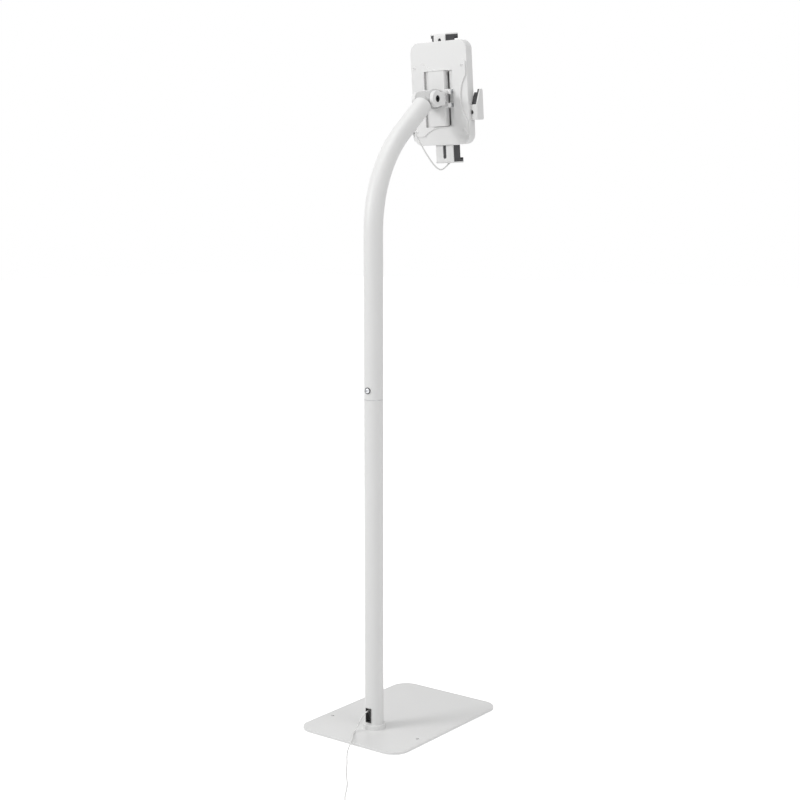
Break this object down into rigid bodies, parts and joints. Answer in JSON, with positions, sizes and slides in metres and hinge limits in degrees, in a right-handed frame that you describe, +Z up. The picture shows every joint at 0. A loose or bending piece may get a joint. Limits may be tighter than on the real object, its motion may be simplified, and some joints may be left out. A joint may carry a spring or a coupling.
{
  "type": "tablet floor stand",
  "caption": "Floor stand with a flat plate base, a bent tubular pole and a tilting, rotating tablet holder with sliding edge clamps and a charging lead.",
  "frame": {"origin": "pole's axis at the underside of the anti-slip sheet, on the floor", "axes": "+Z up; -Y towards the front, where the arm reaches and the tablet faces; X across"},
  "size_m": [0.4138, 0.6115, 1.4004],
  "materials": {
    "white_coat": "satin white powder coat",
    "black_fastener": "black oxide",
    "plain_steel": "zinc plated",
    "white_alloy": "white coated alloy",
    "black_rubber": "matte",
    "black_plastic": "matte",
    "white_lead": "satin"
  },
  "bodies": {
    "stand": {"anti_slip_sheet": "black_rubber", "base_plate": "white_coat", "foot_plug": "plain_steel", "foot_screws": "plain_steel", "foot_collar": "white_alloy", "lower_pole": "white_coat", "slot_grommet": "black_rubber", "joint_spigot": "plain_steel", "joint_screw": "plain_steel", "joint_washer": "black_rubber", "upper_pole": "white_coat", "arm_grommet": "black_rubber", "tilt_knuckle": "white_alloy", "tilt_set_screw": "black_fastener", "lead_in_pole": "white_lead", "lead_upper": "white_lead", "lead_lower": "white_lead", "lead_coil": "white_lead", "lead_tie": "black_plastic", "lead_plug": "white_lead", "plug_shell": "plain_steel"},
    "tilt_head": {"tilt_yoke": "white_alloy", "tilt_bolt": "black_fastener", "tilt_nut": "plain_steel", "tilt_washers": "black_plastic", "rotation_disc": "white_alloy", "rotation_washer": "black_plastic", "rotation_bolt": "plain_steel", "rotation_nut": "plain_steel", "rotation_spring_washer": "plain_steel"},
    "holder": {"hub_plate": "white_coat", "hub_screws": "white_coat", "hub_spacers": "plain_steel", "centre_bar": "white_coat", "back_plate": "white_coat", "back_plate_screws": "white_coat", "holder_shell": "white_coat", "slide_frame": "white_coat", "frame_posts": "plain_steel", "front_plate": "white_coat", "front_screws": "black_fastener", "tablet_pads": "black_rubber", "lock_screws": "black_fastener", "lock_washers": "plain_steel"},
    "top_clamp": {"top_clamp_arm": "white_coat", "top_clamp_liner": "black_plastic"},
    "bottom_clamp": {"bottom_clamp_arm": "white_coat", "bottom_clamp_liner": "black_plastic", "lead_connector": "white_lead", "connector_tip": "plain_steel"},
    "left_clamp": {"left_clamp_arm": "white_coat", "left_clamp_liner": "black_plastic"},
    "right_clamp": {"right_clamp_arm": "white_coat", "right_clamp_liner": "black_plastic"}
  },
  "joints": [
    {"name": "tilt", "type": "hinge", "parent": "stand", "child": "tilt_head", "pos_m": [0, -0.17576, 1.26333], "axis": [-1, 0, 0], "range_deg": [-20, 60], "deforming": ["lead_upper"]},
    {"name": "rotation", "type": "hinge", "parent": "tilt_head", "child": "holder", "pos_m": [0, -0.22059, 1.26725], "axis": [0, -0.9962, 0.0872], "range_deg": [-90, 90]},
    {"name": "top_clamp_slide", "type": "slide", "parent": "holder", "child": "top_clamp", "axis": [0, 0.0872, 0.9962], "range_m": [-0.0007, 0.02]},
    {"name": "bottom_clamp_slide", "type": "slide", "parent": "holder", "child": "bottom_clamp", "axis": [0, -0.0872, -0.9962], "range_m": [-0.0007, 0.02]},
    {"name": "left_clamp_slide", "type": "slide", "parent": "holder", "child": "left_clamp", "axis": [1, 0, 0], "range_m": [-0.0007, 0.02]},
    {"name": "right_clamp_slide", "type": "slide", "parent": "holder", "child": "right_clamp", "axis": [-1, 0, 0], "range_m": [-0.0007, 0.02]}
  ]
}
